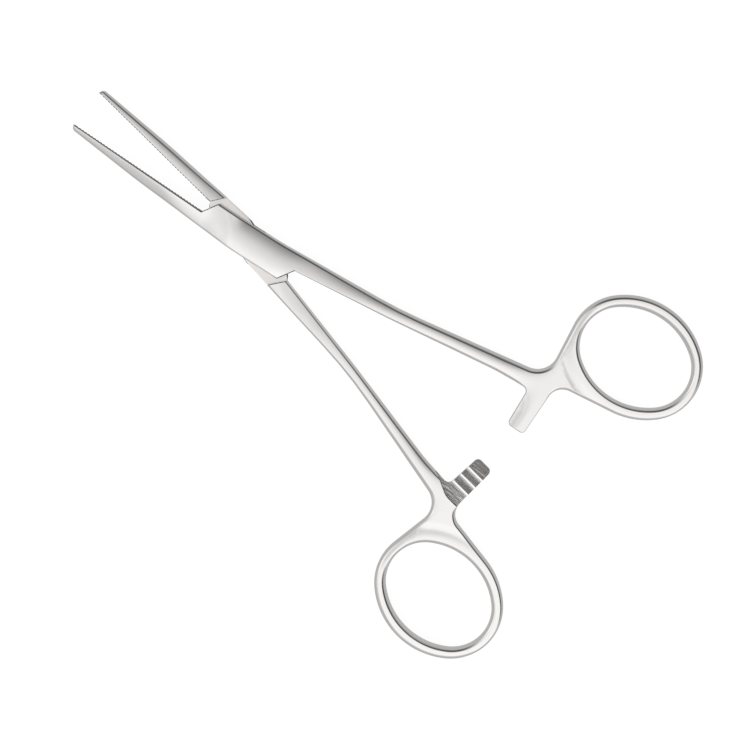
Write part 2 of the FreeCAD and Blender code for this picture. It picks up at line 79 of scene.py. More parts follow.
# A pale studio: bright overhead and on the +Y side, dark on the -Y side
studio = {
    # Brightness from -Y (0) over straight up (0.5) to +Y (1): levels for the box and jaws, and rearLevels for
    # the handles' far ends. A ramp holds no more than 1, so all of it is multiplied by a gain.
    "gain": 1.25,
    "alongGain": 1.5,
    "levels": [(0.0, 0.30), (0.12, 0.11), (0.30, 0.11), (0.375, 0.27), (0.42, 0.42), (0.49, 0.66),
               (0.54, 0.78), (0.59, 0.88), (0.64, 0.99), (0.67, 1.02), (0.72, 0.92), (0.78, 0.72),
               (0.9, 0.60), (1.0, 0.58)],
    "rearLevels": [(0.0, 0.30), (0.12, 0.11), (0.30, 0.11), (0.375, 0.30), (0.42, 0.60), (0.46, 0.90),
                   (0.5, 1.04), (0.55, 1.09), (0.64, 1.12), (0.70, 1.12), (0.76, 0.80), (0.9, 0.62),
                   (1.0, 0.60)],
    "rear": (-0.03, -0.07),     # the directions along X between which the one turns into the other
    # what the first is multiplied by from -X (0) over straight up (0.5) to +X (1)
    "along": [(0.0, 1.0), (0.3, 1.1), (0.45, 1.24), (0.495, 1.20), (0.515, 0.98), (0.529, 1.0), (0.539, 1.26),
              (0.558, 0.97), (0.6, 0.9), (0.7, 1.1), (1.0, 1.1)],
    "horizon": 0.42,
    "horizonTop": 0.12,
    "floorSeen": 0.52,      # the floor as the steel mirrors it
    "floorMatte": 0.9,
    "floorSize": 3.0,
    "floorWhite": 0.94,     # how bright the floor is without the light that takes shadow
    "shadow": 0.16,         # how much of the floor takes light and shadow
}


def valueNode(nodes, op, *inputs, clamp=False):
    node = nodes.new("ShaderNodeMath")
    node.operation = op
    node.use_clamp = clamp
    for place, given in enumerate(inputs):
        if isinstance(given, (int, float)):
            node.inputs[place].default_value = given
        else:
            node.id_data.links.new(given, node.inputs[place])
    return node.outputs[0]


def rampNode(nodes, value, levels, gain):
    # brightness over a value from -1 to 1, smooth between the given levels
    ramp = nodes.new("ShaderNodeValToRGB")
    ramp.color_ramp.interpolation = "CARDINAL"
    nodes.id_data.links.new(valueNode(nodes, "MULTIPLY_ADD", value, 0.5, 0.5, clamp=True), ramp.inputs[0])
    stops = ramp.color_ramp.elements
    while len(stops) < len(levels):
        stops.new(0.5)
    for stop, (place, level) in zip(stops, levels):
        stop.position = place
        share = level / gain
        stop.color = (share, share, share, 1)
    return valueNode(nodes, "MULTIPLY", ramp.outputs["Color"], gain)


def plainShader(nodes, kind, level):
    node = nodes.new(kind)
    node.inputs["Color"].default_value = (level, level, level, 1)
    return node.outputs[0]


def mixShader(nodes, share, first, second):
    node = nodes.new("ShaderNodeMixShader")
    for place, given in enumerate((share, first, second)):
        node.id_data.links.new(given, node.inputs[place])
    return node.outputs[0]


def addWorld(s):
    # The steel mirrors a sky whose brightness is a product of ramps, and the camera sees plain white
    world = bpy.data.worlds.new("studio")
    bpy.context.scene.world = world
    world.use_nodes = True
    nodes, links = world.node_tree.nodes, world.node_tree.links
    nodes.clear()
    coords = nodes.new("ShaderNodeTexCoord")
    parts = nodes.new("ShaderNodeSeparateXYZ")
    links.new(coords.outputs["Generated"], parts.inputs[0])
    front = valueNode(nodes, "MULTIPLY", rampNode(nodes, parts.outputs["Y"], s["levels"], s["gain"]),
                      rampNode(nodes, parts.outputs["X"], s["along"], s["alongGain"]))
    share = nodes.new("ShaderNodeMapRange")
    share.interpolation_type = "SMOOTHSTEP"
    links.new(parts.outputs["X"], share.inputs["Value"])
    share.inputs["From Min"].default_value, share.inputs["From Max"].default_value = s["rear"]
    sky = nodes.new("ShaderNodeMix")
    links.new(share.outputs[0], sky.inputs["Factor"])
    links.new(front, sky.inputs["A"])
    links.new(rampNode(nodes, parts.outputs["Y"], s["rearLevels"], s["gain"]), sky.inputs["B"])
    low = nodes.new("ShaderNodeMapRange")
    low.interpolation_type = "SMOOTHSTEP"
    links.new(parts.outputs["Z"], low.inputs["Value"])
    low.inputs["From Max"].default_value = s["horizonTop"]
    mix = nodes.new("ShaderNodeMix")
    links.new(low.outputs[0], mix.inputs["Factor"])
    mix.inputs["A"].default_value = s["horizon"]
    links.new(sky.outputs["Result"], mix.inputs["B"])
    light = nodes.new("ShaderNodeBackground")
    links.new(mix.outputs["Result"], light.inputs["Color"])
    white = plainShader(nodes, "ShaderNodeBackground", 1)
    path = nodes.new("ShaderNodeLightPath")
    out = nodes.new("ShaderNodeOutputWorld")
    links.new(mixShader(nodes, path.outputs["Is Camera Ray"], light.outputs[0], white), out.inputs[0])


def addFloor(s):
    # The steel mirrors it as a plain grey. The camera sees it nearly white, with a little light and shadow.
    half = s["floorSize"] / 2
    mesh = bpy.data.meshes.new("floor")
    corners = [(-half, -half, 0), (half, -half, 0), (half, half, 0), (-half, half, 0)]
    mesh.from_pydata(corners, [], [(0, 1, 2, 3)])
    floor = bpy.data.objects.new("floor", mesh)
    bpy.context.scene.collection.objects.link(floor)
    material = bpy.data.materials.new("floorWhite")
    material.use_nodes = True
    nodes, links = material.node_tree.nodes, material.node_tree.links
    nodes.clear()
    path = nodes.new("ShaderNodeLightPath")
    lit = nodes.new("ShaderNodeAddShader")
    links.new(plainShader(nodes, "ShaderNodeBsdfDiffuse", s["shadow"]), lit.inputs[0])
    links.new(plainShader(nodes, "ShaderNodeEmission", s["floorWhite"]), lit.inputs[1])
    unseen = mixShader(nodes, path.outputs["Is Glossy Ray"],
                       plainShader(nodes, "ShaderNodeBsdfDiffuse", s["floorMatte"]),
                       plainShader(nodes, "ShaderNodeEmission", s["floorSeen"]))
    out = nodes.new("ShaderNodeOutputMaterial")
    links.new(mixShader(nodes, path.outputs["Is Camera Ray"], unseen, lit.outputs[0]), out.inputs["Surface"])
    mesh.materials.append(material)


addWorld(studio)
addFloor(studio)
print("studio built")

# The steels, by what leaves each face: its colour, how rough it is and how much that varies, the depth of
# its grain and of its tool lines, and the direction of those lines in the piece's own plan, in degrees.
# The cut and serrated ones are near-black as painted shade, not as a colour the steel has.
steelKinds = {
    "polished": {"colour": (0.862, 0.849, 0.841), "rough": 0.15, "vary": 0.05, "grain": 0.0006},
    "milled": {"colour": (0.90, 0.868, 0.84), "rough": 0.26, "vary": 0.06, "grain": 0.001, "lines": 0.004,
               "turn": 35.0},
    # near-black: painted shade, standing in for the shadow on the walls of cuts and in the gaps between parts
    "cut": {"colour": (0.09, 0.088, 0.085), "rough": 0.45, "vary": 0.1, "grain": 0.002},
    # dark: painted shade on the gripping face; the serrations are real, their darkness is painted
    "shadedSerrated": {"colour": (0.15, 0.147, 0.144), "rough": 0.4, "vary": 0.1, "grain": 0.002},
    "ground": {"colour": (0.88, 0.855, 0.835), "rough": 0.4, "vary": 0.1, "grain": 0.004, "lines": 0.16,
               "turn": 8.0},
}

# Noise scales per millimetre, each with its detail, and how the tool lines are drawn out
steelNoise = {
    "lines": (1.6, 3.0),
    "lineStretch": (0.16, 1.25, 0.6),
    "grain": (9.0, 2.0),
    "cloud": (0.35, 3.0),
    "fine": (6.0, 4.0),
    "brightVary": 0.05,
    "bumpDistance": 0.001,
}


def steelGroup(n):
    # Fine grain, slow cloudy variation and straight tool lines, from the piece's own coordinates
    group = bpy.data.node_groups.new("steelFinish", "ShaderNodeTree")
    sockets = {"INPUT": ("Rough", "Vary", "Grain", "Lines", "Turn"), "OUTPUT": ("Roughness", "Height")}
    for way, names in sockets.items():
        group.interface.new_socket("Colour", in_out=way, socket_type="NodeSocketColor")
        for name in names:
            group.interface.new_socket(name, in_out=way, socket_type="NodeSocketFloat")
    nodes, links = group.nodes, group.links
    given = nodes.new("NodeGroupInput")
    made = nodes.new("NodeGroupOutput")
    own = nodes.new("ShaderNodeAttribute")
    own.attribute_name = "own"

    def noise(vector, kind):
        node = nodes.new("ShaderNodeTexNoise")
        node.inputs["Scale"].default_value, node.inputs["Detail"].default_value = n[kind]
        links.new(vector, node.inputs["Vector"])
        return node.outputs["Fac"]

    turned = nodes.new("ShaderNodeVectorRotate")
    turned.rotation_type = "Z_AXIS"
    links.new(own.outputs["Vector"], turned.inputs["Vector"])
    links.new(given.outputs["Turn"], turned.inputs["Angle"])
    stretched = nodes.new("ShaderNodeVectorMath")
    stretched.operation = "MULTIPLY"
    stretched.inputs[1].default_value = n["lineStretch"]
    links.new(turned.outputs[0], stretched.inputs[0])
    lines = valueNode(nodes, "MULTIPLY", noise(stretched.outputs[0], "lines"), given.outputs["Lines"])
    grain = valueNode(nodes, "MULTIPLY", noise(own.outputs["Vector"], "grain"), given.outputs["Grain"])
    cloud = valueNode(nodes, "SUBTRACT", noise(own.outputs["Vector"], "cloud"), 0.5)
    fine = valueNode(nodes, "SUBTRACT", noise(own.outputs["Vector"], "fine"), 0.5)
    both = valueNode(nodes, "ADD", cloud, fine)
    rough = valueNode(nodes, "MULTIPLY_ADD", both, given.outputs["Vary"], given.outputs["Rough"])
    bright = valueNode(nodes, "MULTIPLY_ADD", both, n["brightVary"], 1.0)
    tint = nodes.new("ShaderNodeVectorMath")
    tint.operation = "SCALE"
    links.new(given.outputs["Colour"], tint.inputs[0])
    links.new(bright, tint.inputs["Scale"])
    links.new(tint.outputs[0], made.inputs["Colour"])
    links.new(rough, made.inputs["Roughness"])
    links.new(valueNode(nodes, "ADD", lines, grain), made.inputs["Height"])
    return group


def steelMaterial(name, kind, group, bumpDistance):
    material = bpy.data.materials.new(name)
    material.use_nodes = True
    nodes, links = material.node_tree.nodes, material.node_tree.links
    shader = nodes["Principled BSDF"]
    shader.inputs["Metallic"].default_value = 1.0
    finish = nodes.new("ShaderNodeGroup")
    finish.node_tree = group
    finish.inputs["Colour"].default_value = (*kind["colour"], 1)
    finish.inputs["Turn"].default_value = math.radians(kind.get("turn", 0.0))
    for socket in ("Rough", "Vary", "Grain", "Lines"):
        finish.inputs[socket].default_value = kind.get(socket.lower(), 0.0)
    bump = nodes.new("ShaderNodeBump")
    bump.inputs["Strength"].default_value = 1.0
    bump.inputs["Distance"].default_value = bumpDistance
    links.new(finish.outputs["Colour"], shader.inputs["Base Color"])
    links.new(finish.outputs["Roughness"], shader.inputs["Roughness"])
    links.new(finish.outputs["Height"], bump.inputs["Height"])
    links.new(bump.outputs[0], shader.inputs["Normal"])
    return material


finishGroup = steelGroup(steelNoise)
steels = {name: steelMaterial(name + "Steel", kind, finishGroup, steelNoise["bumpDistance"])
          for name, kind in steelKinds.items()}
print("steels made")

# One half in its own frame, in millimetres. The pin is Z, X runs along the closing line to the tip,
# the half's jaw lies on the +Y side and its handle on the -Y side, and Z = 0 is mid-thickness.
# A corner is x, y and the radius that rounds it. The last word names the run after it: rounded, a lock's
# end or the gripping face. The last two only have their edge broken.
armFar = 70.15
half = {
    "corners": [
        (-(armFar - 2.6), -11.4, 4.5, "round"),
        (-34.0, -4.9, 100.0, "round"),
        (-6.0, -3.55, 40.0, "round"),
        (9.25, -3.2, 0.0, "end"),
        (11.55, 0.28, 0.0, "grip"),
        (43.9, 0.02, 0.0, "round"),
        (43.75, 1.08, 0.95, "round"),
        (26.0, 2.48, 100.0, "round"),
        (2.0, 3.5, 60.0, "round"),
        (-9.25, 3.2, 0.0, "end"),
        (-11.55, -0.28, 0.0, "round"),
        (-34.0, -2.95, 100.0, "round"),
        (-58.0, -6.28, 30.0, "round"),
        (-65.7, -6.8, 1.2, "round"),
        (-66.1, 1.65, 1.0, "round"),
        (-armFar, 1.65, 1.0, "round"),
        (-armFar, -10.85, 3.5, "round"),
    ],
    "ringCentre": (-(armFar + 10.5), -24.7),
    "ringHalves": (14.6, 12.4),
    "holeHalves": (12.3, 9.7),
    # half thickness along X
    "thickness": [(-95.0, 1.95), (-50.0, 1.95), (-26.0, 2.4), (9.0, 2.4), (43.9, 1.15)],
    # plan width of the edge round along X: on the handle's two sides and on the jaw's
    "outerRound": [(-58.0, 0.92), (-48.0, 0.8), (-30.0, 0.55), (-16.0, 0.48), (-6.0, 0.5), (9.0, 0.42)],
    "innerRound": [(-80.0, 0.7), (-48.0, 0.68), (-40.0, 0.55), (-30.0, 0.42), (-16.0, 0.3), (-11.0, 0.3)],
    "jawRound": [(-12.0, 0.35), (4.0, 0.4), (12.0, 0.5), (19.0, 0.65), (27.0, 0.75), (33.0, 0.72),
                 (43.9, 0.55)],
    "holeRound": 0.9,
    # the round narrows to armRound towards the ratchet arm: along the shank, and up the web past webX
    "armRound": 0.28,
    "shankNarrows": (-62.5, -65.7),
    "webNarrows": (-10.0, -7.0),
    "webX": -67.5,
    "ringX": -71.0,
    "edgeBreak": 0.17,
    # how high a round is for its width, and what stays of the side below it
    "sideLeft": 0.25,
    "roundHeight": [(-66.0, 1.85), (-58.0, 1.45), (-24.0, 1.3), (-12.0, 0.85), (11.0, 0.75), (16.0, 1.5)],
    # the crown of the flats: where its ridge runs, and its radius
    "ridge": [(-70.0, -9.6), (-58.0, -8.4), (-34.0, -4.4), (-14.0, -2.3), (-8.0, 0.0), (2.0, 0.0),
              (11.5, 0.8), (15.0, 1.2), (27.0, 0.95), (33.0, 0.75), (39.0, 0.45), (43.9, 0.3)],
    "crown": [(-58.0, 8.5), (-30.0, 8.8), (-22.0, 13.0), (-14.0, 22.0), (-8.0, 20.0), (10.0, 20.0),
              (15.0, 8.0), (27.0, 6.0), (33.0, 5.0), (39.0, 4.0), (43.9, 4.0)],
    "crownReach": 7.0,              # how far off the ridge it goes on falling
    "crownStart": (-68.0, -58.0),   # between these along X it sets in
    "ringCrown": 16.0,
    "ringFade": (1.2, 3.4),         # how far off the rim's middle the ring's own crown starts and ends fading
    "crownBlend": 2.0,              # along X, how far the crown's stations are averaged to either side
    "thicknessBlend": 3.0,
    # the crowned flat's inner points: their spacing along X and Y, and the least distance from an edge
    "gridStep": (1.1, 0.55),
    "gridArea": ((-94.0, 45.0), (-36.0, 4.0)),
    "gridClear": 0.3,
}


# The box half's outer side is fuller, and its jaw is ground over towards the outside
boxShape = dict(half)
boxShape["corners"] = [half["corners"][0], (-34.0, -5.6, 100.0, "round")] + half["corners"][2:]
boxShape["outerRound"] = [(-58.0, 0.95), (-40.0, 0.85), (-30.0, 0.72), (-16.0, 0.62), (-6.0, 0.56),
                          (9.0, 0.5)]
boxShape["ridge"] = [(-70.0, -9.6), (-58.0, -7.7), (-34.0, -3.8), (-18.0, -1.3), (-13.0, -0.8), (-8.0, 0.3),
                     (4.0, 0.4), (8.0, -4.2), (11.0, -3.8), (20.0, -1.0), (43.9, -0.8)]
boxShape["crown"] = half["crown"][:5] + [(4.0, 19.0), (8.0, 38.0), (11.0, 30.0), (20.0, 8.0), (27.0, 6.5),
                                         (43.9, 5.5)]


def interp(x, stations, reach=0.0):
    # straight between the stations, averaged over a reach to either side
    xs, ys = zip(*stations)
    steps = np.linspace(-reach, reach, 9 if reach else 1)
    return np.mean([np.interp(x + step, xs, ys) for step in steps], axis=0)


def arcPoints(centre, radius, start, end, step=math.radians(3.5)):
    turns = np.linspace(start, end, max(2, math.ceil(abs(end - start) / step) + 1))
    normal = np.column_stack([np.cos(turns), np.sin(turns)])
    return centre + radius * normal, normal


def ovalArcs(centre, halves):
    # Four tangent arcs near an ellipse, anticlockwise from the upper side: centre, radius, start and end
    # angle
    a, b = halves
    diagonal = math.hypot(a, b)
    endRadius = diagonal * (diagonal - a + b) / (2 * a)
    sideRadius = diagonal * (diagonal + a - b) / (2 * b)
    turn = math.atan2(sideRadius - b, a - endRadius)
    x, y = centre
    return [
        (np.array([x, y - sideRadius + b]), sideRadius, turn, math.pi - turn),
        (np.array([x - a + endRadius, y]), endRadius, math.pi - turn, math.pi + turn),
        (np.array([x, y + sideRadius - b]), sideRadius, math.pi + turn, 2 * math.pi - turn),
        (np.array([x + a - endRadius, y]), endRadius, 2 * math.pi - turn, 2 * math.pi + turn),
    ]


def touchAngle(arc, point, side):
    away = point - arc[0]
    return math.atan2(away[1], away[0]) + side * math.acos(arc[1] / np.hypot(*away))


def filletRun(points, corners):
    # A chain of straight runs whose corners are rounded by tangent arcs. Each place holds its position, its
    # two outward normals (they differ at a sharp corner) and the words of the runs before and after it.
    places = []
    for i in range(1, len(points) - 1):
        before, at, after = points[i - 1], points[i], points[i + 1]
        radius, wordAfter = corners[i - 1][2], corners[i - 1][3]
        wordBefore = corners[i - 2][3] if i > 1 else "round"
        u, v = (at - before) / np.hypot(*(at - before)), (after - at) / np.hypot(*(after - at))
        normalBefore, normalAfter = np.array([u[1], -u[0]]), np.array([v[1], -v[0]])
        turn = math.atan2(u[0] * v[1] - u[1] * v[0], u @ v)
        if radius:
            reach = radius * math.tan(abs(turn) / 2)
            side = math.copysign(1, turn)
            centre = at - u * reach - normalBefore * radius * side
            start = math.atan2(*(normalBefore * side)[::-1])
            spots, normals = arcPoints(centre, radius, start, start + turn)
            normals = normals * side
            for spot, normal in zip(spots, normals):
                places.append((spot, normal, normal, wordBefore, wordAfter))
        else:
            places.append((at, normalBefore, normalAfter, wordBefore, wordAfter))
    return places


def fillStraights(places, closed, spacing=1.1):
    # adds places along the straight stretches
    out = []
    count = len(places)
    for i in range(count):
        out.append(places[i])
        if i == count - 1 and not closed:
            break
        here, there = places[i], places[(i + 1) % count]
        gap = there[0] - here[0]
        length = np.hypot(*gap)
        straight = abs(here[2] @ there[1]) > 0.99999
        if length > 1.6 * spacing and straight:
            parts = round(length / spacing)
            for k in range(1, parts):
                out.append((here[0] + gap * k / parts, here[2], here[2], here[4], here[4]))
    return out


def halfOutline(h):
    # the run of corners, closed by the outer arcs of the finger ring
    corners = h["corners"]
    ring = ovalArcs(h["ringCentre"], h["ringHalves"])
    webOut, webIn = np.array(corners[0][:2]), np.array(corners[-1][:2])
    topTurn = touchAngle(ring[0], webIn, 1)
    nearTurn = touchAngle(ring[3], webOut, -1) + 2 * math.pi
    first = ring[3][0] + ring[3][1] * np.array([math.cos(nearTurn), math.sin(nearTurn)])
    last = ring[0][0] + ring[0][1] * np.array([math.cos(topTurn), math.sin(topTurn)])
    points = [first] + [np.array(c[:2]) for c in corners] + [last]
    places = filletRun(points, corners)
    spans = [(ring[0], topTurn, ring[0][3]), (ring[1], ring[1][2], ring[1][3]),
             (ring[2], ring[2][2], ring[2][3]), (ring[3], ring[3][2], nearTurn)]
    for k, (arc, start, end) in enumerate(spans):
        spots, normals = arcPoints(arc[0], arc[1], start, end)
        keep = slice(0, None) if k == 3 else slice(0, -1)
        places += [(spot, normal, normal, "round", "round")
                   for spot, normal in zip(spots[keep], normals[keep])]
    return fillStraights(places, closed=True)


def holeOutline(h):
    places = []
    for arc in ovalArcs(h["ringCentre"], h["holeHalves"]):
        spots, normals = arcPoints(arc[0], arc[1], arc[2], arc[3])
        places += [(spot, -normal, -normal, "round", "round")
                   for spot, normal in zip(spots[:-1], normals[:-1])]
    return places


def smoothStep(share):
    share = np.clip(share, 0, 1)
    return share * share * (3 - 2 * share)


def roundWidth(h, xy, normal):
    # Plan width of the edge round at each place of the outline. On the handle it passes from the outer to
    # the inner width as the side's normal turns from -Y to +Y.
    x, y = xy.T
    outer = interp(x, h["outerRound"])
    handle = outer + (interp(x, h["innerRound"]) - outer) * np.clip(0.5 + 1.2 * normal[:, 1], 0, 1)
    width = np.where((y > 0) & (x > h["jawRound"][0][0]), interp(x, h["jawRound"]), handle)
    (shankFrom, shankTo), (webFrom, webTo) = h["shankNarrows"], h["webNarrows"]
    shank = (x - shankFrom) / (shankTo - shankFrom)
    web = (y - webFrom) / (webTo - webFrom)
    share = smoothStep(np.where(x > h["webX"], shank, web)) * ((x > h["ringX"]) & (y > webFrom))
    return width + (np.minimum(h["armRound"], width) - width) * share


def topHeight(h, x, y):
    # Half thickness, less the crown. The crown falls by d^2 / 2R at a distance d across its ridge, with R its
    # radius, and fades out towards the web. On the ring it is centred on the rim.
    across = np.clip(y - interp(x, h["ridge"], h["crownBlend"]), -h["crownReach"], h["crownReach"])
    none, whole = h["crownStart"]
    share = smoothStep((x - none) / (whole - none))
    fall = across ** 2 / (2 * interp(x, h["crown"], h["crownBlend"])) * share
    cx, cy = h["ringCentre"]
    a, b = [(outer + inner) / 2 for outer, inner in zip(h["ringHalves"], h["holeHalves"])]
    away = np.hypot((x - cx) / a, (y - cy) / b)
    rim = (away - 1) * (a + b) / 2
    start, end = h["ringFade"]
    ringFall = rim ** 2 / (2 * h["ringCrown"]) * smoothStep((end - np.abs(rim)) / (end - start))
    return interp(x, h["thickness"], h["thicknessBlend"]) - fall - ringFall


def edgeRows(h, places, width=None, rows=9):
    # Rows of points from mid-thickness up the side and round the edge. Each row lies further in from the
    # outline: a quarter of an ellipse, its width from roundWidth and its height from roundHeight.
    spot = np.array([p[0] for p in places])
    before = np.array([p[1] for p in places])
    after = np.array([p[2] for p in places])
    if width is None:
        width = roundWidth(h, spot, before)
    widthBefore = np.where([p[3] == "round" for p in places], width, h["edgeBreak"])
    widthAfter = np.where([p[4] == "round" for p in places], width, h["edgeBreak"])
    width = np.minimum(widthBefore, widthAfter)
    cross = before[:, 0] * after[:, 1] - before[:, 1] * after[:, 0]
    smooth = np.abs(cross) < 0.05
    cross = np.where(smooth, 1, cross)
    grid = []
    for turn in np.linspace(0, math.pi / 2, rows):
        inset = 1 - math.cos(turn)
        a, b = -inset * widthBefore, -inset * widthAfter
        mitre = np.column_stack([(a * after[:, 1] - b * before[:, 1]) / cross,
                                 (b * before[:, 0] - a * after[:, 0]) / cross])
        plain = -inset * np.maximum(widthBefore, widthAfter)[:, None] * before
        flat = spot + np.where(smooth[:, None], plain, mitre)
        top = topHeight(h, flat[:, 0], flat[:, 1])
        tall = np.minimum(interp(spot[:, 0], h["roundHeight"]) * width, top - h["sideLeft"])
        grid.append(np.column_stack([flat, top - tall * (1 - math.sin(turn))]))
    foot = grid[0].copy()
    foot[:, 2] = 0
    return np.array([foot] + grid)


def inside(points, loop):
    # even-odd rule, for many points at once
    x, y = points[:, 0][:, None], points[:, 1][:, None]
    x0, y0 = loop[:, 0], loop[:, 1]
    x1, y1 = np.roll(x0, -1), np.roll(y0, -1)
    crossing = (y0 > y) != (y1 > y)
    with np.errstate(divide="ignore", invalid="ignore"):
        reach = x0 + (y - y0) * (x1 - x0) / (y1 - y0)
    return (crossing & (x < reach)).sum(1) % 2 == 1


def clearance(points, loop):
    a, b = loop, np.roll(loop, -1, axis=0)
    run = b - a
    share = ((points[:, None] - a) * run).sum(2) / (run ** 2).sum(1)
    near = a + np.clip(share, 0, 1)[..., None] * run
    return np.hypot(*(points[:, None] - near).transpose(2, 0, 1)).min(1)


def quadGrid(rows, count):
    # faces between rows of points, each row a closed loop
    i, j = np.meshgrid(np.arange(rows - 1), np.arange(count), indexing="ij")
    after = (j + 1) % count
    return np.stack([i * count + j, i * count + after, (i + 1) * count + after, (i + 1) * count + j],
                    axis=-1).reshape(-1, 4)


def blankMesh(h):
    # The forged blank, above mid-thickness and mirrored below it: rows along both outlines, and a crowned
    # flat between them whose inner points lie on a grid
    outline = halfOutline(h)
    loops = [edgeRows(h, outline), edgeRows(h, holeOutline(h), h["holeRound"])]
    rims = [loop[-1][:, :2] for loop in loops]
    spans = [np.arange(*reach, step) for reach, step in zip(h["gridArea"], h["gridStep"])]
    gx, gy = np.meshgrid(*spans)
    grid = np.column_stack([gx.ravel(), gy.ravel()])
    keep = inside(grid, rims[0]) & ~inside(grid, rims[1])
    grid = grid[keep]
    far = np.minimum(clearance(grid, rims[0]), clearance(grid, rims[1]))
    grid = grid[far > h["gridClear"]]
    counts = [len(rims[0]), len(rims[1])]
    flat = np.vstack(rims + [grid])
    edges = [(i, (i + 1) % counts[0]) for i in range(counts[0])]
    edges += [(counts[0] + i, counts[0] + (i + 1) % counts[1]) for i in range(counts[1])]
    result = delaunay_2d_cdt([Vector(p) for p in flat], edges, [], 1, 1e-7)
    source = np.array([ids[0] for ids in result[3]])
    triangles = source[np.array(result[2])]
    middles = flat[triangles].mean(1)
    triangles = triangles[inside(middles, rims[0]) & ~inside(middles, rims[1])]
    a, b, c = (flat[triangles[:, k]] for k in range(3))
    turned = (b[:, 0] - a[:, 0]) * (c[:, 1] - a[:, 1]) < (b[:, 1] - a[:, 1]) * (c[:, 0] - a[:, 0])
    triangles[turned] = triangles[turned][:, ::-1]
    # the lock's end walls take the near-black steel and the gripping face the dark one, both painted shade
    finish = ["round", "end", "grip"]
    points, faces, rimIds, kinds = [], [], [], []
    base = 0
    for k, loop in enumerate(loops):
        rows, count = loop.shape[:2]
        points.append(loop.reshape(-1, 3))
        quad = quadGrid(rows, count) + base
        faces.append(quad if k == 0 else quad[:, ::-1])
        walls = [finish.index(p[4]) for p in outline] if k == 0 else [0] * count
        kinds += walls * (rows - 1)
        rimIds.append(base + (rows - 1) * count + np.arange(count))
        base += rows * count
    height = topHeight(h, grid[:, 0], grid[:, 1])
    points.append(np.column_stack([grid, height]))
    ids = np.concatenate(rimIds + [base + np.arange(len(grid))])
    points = np.vstack(points)
    top = [tuple(f) for q in faces for f in q] + [tuple(f) for f in ids[triangles]]
    below = points * (1, 1, -1)
    count = len(points)
    whole = np.vstack([points, below])
    allFaces = top + [tuple(count + k for k in reversed(f)) for f in top]
    mesh = bpy.data.meshes.new("blank")
    mesh.from_pydata(whole.tolist(), [], allFaces)
    kinds += [0] * len(triangles)
    mesh.polygons.foreach_set("material_index", kinds + kinds)
    for steel in (steels["polished"], steels["cut"], steels["shadedSerrated"]):
        mesh.materials.append(steel)
    shape = bmesh.new()
    shape.from_mesh(mesh)
    bmesh.ops.remove_doubles(shape, verts=shape.verts, dist=1e-5)
    shape.to_mesh(mesh)
    shape.free()
    return mesh


def grown(corners, reach):
    # a plan outline moved outwards, its corners mitred
    at = np.array(corners, float)
    run = np.roll(at, -1, axis=0) - at
    run = run / np.hypot(*run.T)[:, None]
    area = (at[:, 0] * np.roll(at[:, 1], -1) - np.roll(at[:, 0], -1) * at[:, 1]).sum()
    normal = np.column_stack([run[:, 1], -run[:, 0]]) * np.sign(area)
    before = np.roll(normal, 1, axis=0)
    return at + reach * (before + normal) / (1 + (before * normal).sum(1))[:, None]


def closedFaces(rows, count):
    # the sides between the rows, and a cap on the first and the last
    caps = [tuple(range(count))[::-1], tuple(range((rows - 1) * count, rows * count))]
    return [tuple(quad) for quad in quadGrid(rows, count).tolist()] + caps


def prism(corners, *rows):
    # a cutter over a plan outline, each row a height and how far the outline is grown there
    count = len(corners)
    points = np.vstack([np.column_stack([grown(corners, row[1]), np.full(count, row[0])]) for row in rows])
    return points, closedFaces(len(rows), count)


def straightPrism(corners, low, high):
    return prism(corners, (low, 0), (high, 0))


def breakRows(level, width, steps=5):
    # rows of a cutter that leave a quarter round below a level, out to a safe height above it
    turns = np.linspace(0, math.pi / 2, steps)
    side = math.copysign(1, level)
    return [(level - side * width * (1 - math.sin(turn)), width * (1 - math.cos(turn))) for turn in turns]


# ranges of the upright share of a face's normal
risingFaces = (0.6, 1.01)
flatFaces = (0.9, 1.01)
levelFaces = (0.97, 1.01)
slopedFaces = (0.6, 0.975)


def cutterObject(name, solids, flat, wall=None, plain=risingFaces):
    # the cut takes one steel on its faces whose normal rises within the plain range, and another on the rest
    points, faces = [], []
    for solidPoints, solidFaces in solids:
        faces += [tuple(len(points) + k for k in face) for face in solidFaces]
        points += [tuple(p) for p in solidPoints]
    mesh = bpy.data.meshes.new(name)
    mesh.from_pydata(points, [], faces)
    shape = bmesh.new()
    shape.from_mesh(mesh)
    bmesh.ops.recalc_face_normals(shape, faces=shape.faces)
    for face in shape.faces:
        face.material_index = int(not plain[0] < abs(face.normal.z) < plain[1])
    shape.to_mesh(mesh)
    shape.free()
    mesh.materials.append(steels[flat])
    mesh.materials.append(steels[wall or flat])
    obj = bpy.data.objects.new(name, mesh)
    bpy.context.scene.collection.objects.link(obj)
    return obj


def cutAway(obj, cutters, operation="DIFFERENCE"):
    for cutter in cutters:
        step = obj.modifiers.new("cut", "BOOLEAN")
        step.operation = operation
        step.solver = "EXACT"
        step.material_mode = "TRANSFER"
        step.object = cutter
        bpy.context.view_layer.update()
        done = bpy.data.meshes.new_from_object(obj.evaluated_get(bpy.context.evaluated_depsgraph_get()))
        obj.modifiers.clear()
        obj.data = done
        bpy.data.objects.remove(cutter)


# how far a cutter reaches past the forging: in height, and past a side
overHeight = 4.0
overSide = 2.0

lock = {
    "openAngle": 11.1,
    "lift": 2.4,
    "tongueThick": 1.9,
    "tongueGap": 0.05,
    "tongueWidth": 5.7,
    "tongueSlant": 11.4,
    "tongueX": 10.8,
    "stopGap": 0.1,
    "fullOpen": 60.0,
    "cheekX": 9.25,
    "cheekHalf": 3.2,
    "notch": (11.55, 0.28),
    "shoulderGap": 0.3,
    "pinRadius": 1.3,
    "headRadius": 1.9,
    "headSink": 0.7,
    "pinReach": 2.5,
    "pinGap": 0.04,
    "sideY": 5.5,       # past the widest place of the box
    "overCrown": 0.006,     # how far above the crowned flat the shoulder's round ends
    "edgeBreak": 0.15,
    "sideBreak": 0.16,
}


def opposite(corners):
    return [(-x, -y) for x, y in corners]


